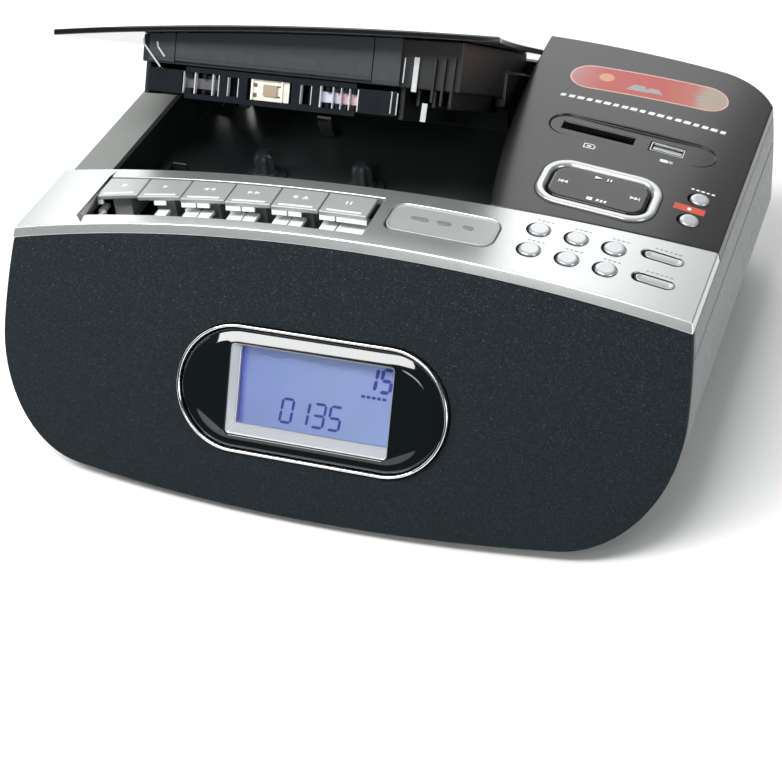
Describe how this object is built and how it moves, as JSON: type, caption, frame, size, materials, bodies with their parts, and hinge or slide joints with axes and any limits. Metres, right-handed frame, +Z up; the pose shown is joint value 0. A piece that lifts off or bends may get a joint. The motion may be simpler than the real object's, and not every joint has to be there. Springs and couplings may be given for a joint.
{
  "type": "cassette player",
  "caption": "Table-top clock radio with a top-loading cassette deck under a hinged lid, piano keys, display, card slot and USB socket.",
  "frame": {"origin": "on the table, under the middle of the cabinet's box", "axes": "+X to the right of someone facing the display, +Y to the back, +Z up"},
  "size_m": [0.264, 0.2097, 0.1438],
  "materials": {
    "shell_grey": "fine moulded texture, satin",
    "strip_silver": "satin silver paint",
    "frame_silver": "satin silver paint",
    "panel_black": "high gloss",
    "grille_cloth": "fine speaker cloth",
    "deck_black": "semi gloss",
    "inner_black": "matte",
    "chrome": "polished",
    "display_frame": "satin",
    "clear_lens": "clear",
    "lcd_blue": "backlit",
    "steel": "satin",
    "spring_steel": "bright",
    "brass": "turned",
    "paper_cone": "pressed paper",
    "rubber": "matte",
    "key_silver": "satin silver paint",
    "pad_black": "gloss",
    "board_green": "solder mask",
    "core_iron": "varnished laminations",
    "tape_black": "fine texture",
    "reel_cream": "smooth"
  },
  "bodies": {
    "cabinet": {"lower_shell": "shell_grey", "upper_shell": "shell_grey", "control_strip": "strip_silver", "left_frame": "frame_silver", "top_panel": "panel_black", "grille": "grille_cloth", "front_baffle": "inner_black", "bezel_ring": "chrome", "lcd_bezel": "panel_black", "lcd_frame": "display_frame", "lcd_lens": "clear_lens", "lcd_module": "lcd_blue", "speaker_baskets": "steel", "speaker_cones": "paper_cone", "well_tray": "deck_black", "deck_motor": "steel", "drive_belt": "rubber", "spring_clip": "spring_steel", "key_shaft": "steel", "key_comb": "key_silver", "pad_ring": "strip_silver", "card_socket": "steel", "usb_socket": "steel", "main_board": "board_green", "transformer": "core_iron", "mains_inlet": "inner_black", "headphone_jack": "inner_black", "feet": "rubber", "screws": "steel"},
    "lid": {"lid_skin": "panel_black", "cassette_holder": "deck_black"},
    "cassette": {"cassette_shell": "tape_black"},
    "left_reel": {"reel_left": "reel_cream"},
    "right_reel": {"reel_right": "reel_cream"},
    "record_key": {"key_record": "key_silver"},
    "play_key": {"key_play": "key_silver"},
    "rewind_key": {"key_rewind": "key_silver"},
    "forward_key": {"key_forward": "key_silver"},
    "stop_key": {"key_stop": "key_silver"},
    "pause_key": {"key_pause": "key_silver"},
    "button_1_cap": {"button_1": "key_silver"},
    "button_2_cap": {"button_2": "key_silver"},
    "button_3_cap": {"button_3": "key_silver"},
    "button_4_cap": {"button_4": "key_silver"},
    "button_5_cap": {"button_5": "key_silver"},
    "button_6_cap": {"button_6": "key_silver"},
    "volume_up_cap": {"volume_up": "key_silver"},
    "volume_down_cap": {"volume_down": "key_silver"},
    "standby_button_cap": {"standby_button": "key_silver"},
    "record_button_cap": {"record_button": "key_silver"},
    "snooze_button_cap": {"snooze_button": "key_silver"},
    "pad": {"nav_pad": "pad_black"},
    "gimbal": {"pad_gimbal": "steel"},
    "left_spindle": {"spindle_left": "deck_black"},
    "right_spindle": {"spindle_right": "deck_black"},
    "capstan": {"flywheel": "brass"},
    "pulley": {"motor_pulley": "brass"},
    "heads": {"head_plate": "steel"},
    "roller": {"pinch_roller": "rubber"},
    "door": {"battery_door": "shell_grey"}
  },
  "joints": [
    {"name": "lid_hinge", "type": "hinge", "parent": "cabinet", "child": "lid", "pos_m": [0, 0.09, 0.076], "axis": [-1, 0, 0], "range_deg": [-31, 0], "stiffness_Nm_per_rad": 0.12, "springref_deg": 45.84},
    {"name": "cassette_slide", "type": "slide", "parent": "lid", "child": "cassette", "axis": [0, -0.8572, 0.515], "range_m": [0, 0.07]},
    {"name": "left_reel_spin", "type": "hinge", "parent": "cassette", "child": "left_reel", "pos_m": [-0.06325, 0.03213, 0.09619], "axis": [0, 0.515, 0.8572], "continuous": true},
    {"name": "right_reel_spin", "type": "hinge", "parent": "cassette", "child": "right_reel", "pos_m": [-0.02075, 0.03213, 0.09619], "axis": [0, 0.515, 0.8572], "continuous": true},
    {"name": "record_key_press", "type": "hinge", "parent": "cabinet", "child": "record_key", "pos_m": [-0.09398, -0.019, 0.074], "axis": [1, 0, 0], "range_deg": [0, 8], "stiffness_Nm_per_rad": 0.02, "springref_deg": -8.59},
    {"name": "play_key_press", "type": "hinge", "parent": "cabinet", "child": "play_key", "pos_m": [-0.07512, -0.019, 0.074], "axis": [1, 0, 0], "range_deg": [0, 8], "stiffness_Nm_per_rad": 0.02, "springref_deg": -8.59},
    {"name": "rewind_key_press", "type": "hinge", "parent": "cabinet", "child": "rewind_key", "pos_m": [-0.05627, -0.019, 0.074], "axis": [1, 0, 0], "range_deg": [0, 8], "stiffness_Nm_per_rad": 0.02, "springref_deg": -8.59},
    {"name": "forward_key_press", "type": "hinge", "parent": "cabinet", "child": "forward_key", "pos_m": [-0.03742, -0.019, 0.074], "axis": [1, 0, 0], "range_deg": [0, 8], "stiffness_Nm_per_rad": 0.02, "springref_deg": -8.59},
    {"name": "stop_key_press", "type": "hinge", "parent": "cabinet", "child": "stop_key", "pos_m": [-0.01858, -0.019, 0.074], "axis": [1, 0, 0], "range_deg": [0, 8], "stiffness_Nm_per_rad": 0.02, "springref_deg": -8.59},
    {"name": "pause_key_press", "type": "hinge", "parent": "cabinet", "child": "pause_key", "pos_m": [0.00028, -0.019, 0.074], "axis": [1, 0, 0], "range_deg": [0, 8], "stiffness_Nm_per_rad": 0.02, "springref_deg": -8.59},
    {"name": "button_1_press", "type": "slide", "parent": "cabinet", "child": "button_1_cap", "axis": [-0.1243, 0, -0.9922], "range_m": [0, 0.0008], "stiffness_N_per_m": 300, "springref_m": -0.0008},
    {"name": "button_2_press", "type": "slide", "parent": "cabinet", "child": "button_2_cap", "axis": [-0.1485, 0, -0.9889], "range_m": [0, 0.0008], "stiffness_N_per_m": 300, "springref_m": -0.0008},
    {"name": "button_3_press", "type": "slide", "parent": "cabinet", "child": "button_3_cap", "axis": [-0.1724, 0, -0.985], "range_m": [0, 0.0008], "stiffness_N_per_m": 300, "springref_m": -0.0008},
    {"name": "button_4_press", "type": "slide", "parent": "cabinet", "child": "button_4_cap", "axis": [-0.1243, 0, -0.9922], "range_m": [0, 0.0008], "stiffness_N_per_m": 300, "springref_m": -0.0008},
    {"name": "button_5_press", "type": "slide", "parent": "cabinet", "child": "button_5_cap", "axis": [-0.1485, 0, -0.9889], "range_m": [0, 0.0008], "stiffness_N_per_m": 300, "springref_m": -0.0008},
    {"name": "button_6_press", "type": "slide", "parent": "cabinet", "child": "button_6_cap", "axis": [-0.1724, 0, -0.985], "range_m": [0, 0.0008], "stiffness_N_per_m": 300, "springref_m": -0.0008},
    {"name": "volume_up_press", "type": "slide", "parent": "cabinet", "child": "volume_up_cap", "axis": [-0.2022, 0, -0.9794], "range_m": [0, 0.0008], "stiffness_N_per_m": 300, "springref_m": -0.0008},
    {"name": "volume_down_press", "type": "slide", "parent": "cabinet", "child": "volume_down_cap", "axis": [-0.2022, 0, -0.9794], "range_m": [0, 0.0008], "stiffness_N_per_m": 300, "springref_m": -0.0008},
    {"name": "standby_button_press", "type": "slide", "parent": "cabinet", "child": "standby_button_cap", "axis": [-0.2094, 0, -0.9778], "range_m": [0, 0.0008], "stiffness_N_per_m": 300, "springref_m": -0.0008},
    {"name": "record_button_press", "type": "slide", "parent": "cabinet", "child": "record_button_cap", "axis": [-0.2079, 0, -0.9781], "range_m": [0, 0.0008], "stiffness_N_per_m": 300, "springref_m": -0.0008},
    {"name": "snooze_button_press", "type": "slide", "parent": "cabinet", "child": "snooze_button_cap", "axis": [-0.0663, 0, -0.9978], "range_m": [0, 0.001], "stiffness_N_per_m": 300, "springref_m": -0.0008},
    {"name": "pad_rock_side", "type": "hinge", "parent": "cabinet", "child": "gimbal", "pos_m": [0.08116, 0.005, 0.07693], "axis": [0, 1, 0], "range_deg": [-2.5, 2.5], "stiffness_Nm_per_rad": 0.05},
    {"name": "pad_rock_front", "type": "hinge", "parent": "gimbal", "child": "pad", "pos_m": [0.08116, 0.005, 0.07693], "axis": [0.9889, 0, -0.1486], "range_deg": [-2.5, 2.5], "stiffness_Nm_per_rad": 0.05},
    {"name": "capstan_spin", "type": "hinge", "parent": "cabinet", "child": "capstan", "pos_m": [-0.015, 0.0003, 0.045], "axis": [0, 0, 1], "continuous": true},
    {"name": "pulley_spin", "type": "hinge", "parent": "cabinet", "child": "pulley", "pos_m": [0.048, 0.012, 0.045], "axis": [0, 0, 1], "continuous": true},
    {"name": "left_spindle_spin", "type": "hinge", "parent": "cabinet", "child": "left_spindle", "pos_m": [-0.06325, 0.03, 0.06], "axis": [0, 0, 1], "continuous": true},
    {"name": "right_spindle_spin", "type": "hinge", "parent": "cabinet", "child": "right_spindle", "pos_m": [-0.02075, 0.03, 0.06], "axis": [0, 0, 1], "continuous": true},
    {"name": "head_slide", "type": "slide", "parent": "cabinet", "child": "heads", "axis": [0, 1, 0], "range_m": [0, 0.0056]},
    {"name": "roller_spin", "type": "hinge", "parent": "heads", "child": "roller", "pos_m": [-0.014, -0.0101, 0.0635], "axis": [0, 0, 1], "continuous": true},
    {"name": "battery_door_slide", "type": "slide", "parent": "cabinet", "child": "door", "axis": [0, 1, 0], "range_m": [0, 0.007]}
  ],
  "couplings": [
    {"joint": "right_reel_spin", "follows": "left_reel_spin", "ratio": 1},
    {"joint": "pulley_spin", "follows": "capstan_spin", "ratio": 4.16},
    {"joint": "left_spindle_spin", "follows": "capstan_spin", "ratio": -0.12},
    {"joint": "right_spindle_spin", "follows": "capstan_spin", "ratio": -0.12},
    {"joint": "roller_spin", "follows": "capstan_spin", "ratio": -0.3906},
    {"joint": "head_slide", "follows": "play_key_press", "m_per_rad": 0.04003}
  ]
}
